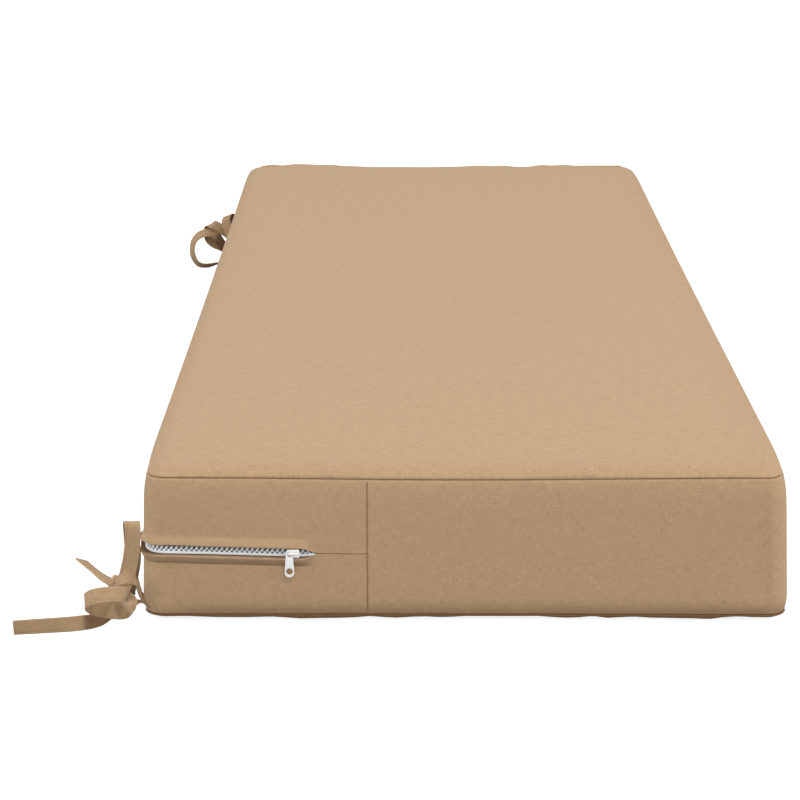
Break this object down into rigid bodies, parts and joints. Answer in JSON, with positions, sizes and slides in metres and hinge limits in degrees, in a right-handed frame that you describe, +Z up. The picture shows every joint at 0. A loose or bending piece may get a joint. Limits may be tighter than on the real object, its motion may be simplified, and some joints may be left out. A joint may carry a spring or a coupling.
{
  "type": "box back cushion with a zip and tie straps",
  "caption": "Long box back cushion in plain woven cloth, with seamed edges, a zip round one long side and tie straps knotted at its corners.",
  "frame": {"origin": "the middle of the flat face that the cushion rests on, lying on its back", "axes": "+Z up through the cushion's thickness, +Y along its length away from the end with the zip's slider, +X across its width away from the side with the zip and the ties"},
  "size_m": [0.6009, 1.2459, 0.1275],
  "materials": {
    "cloth": "plain woven melange cloth, matt",
    "strap": "the same cloth, folded and pressed flat",
    "zip_chain": "white moulded teeth on a white tape",
    "zip_slider": "white lacquered slider and pull tab"
  },
  "bodies": {
    "root": {"cushion": "cloth", "zip_chain": "zip_chain", "zip_slider": "zip_slider", "zip_pull": "zip_slider", "tie_near": "strap", "tie_far": "strap"}
  },
  "joints": []
}
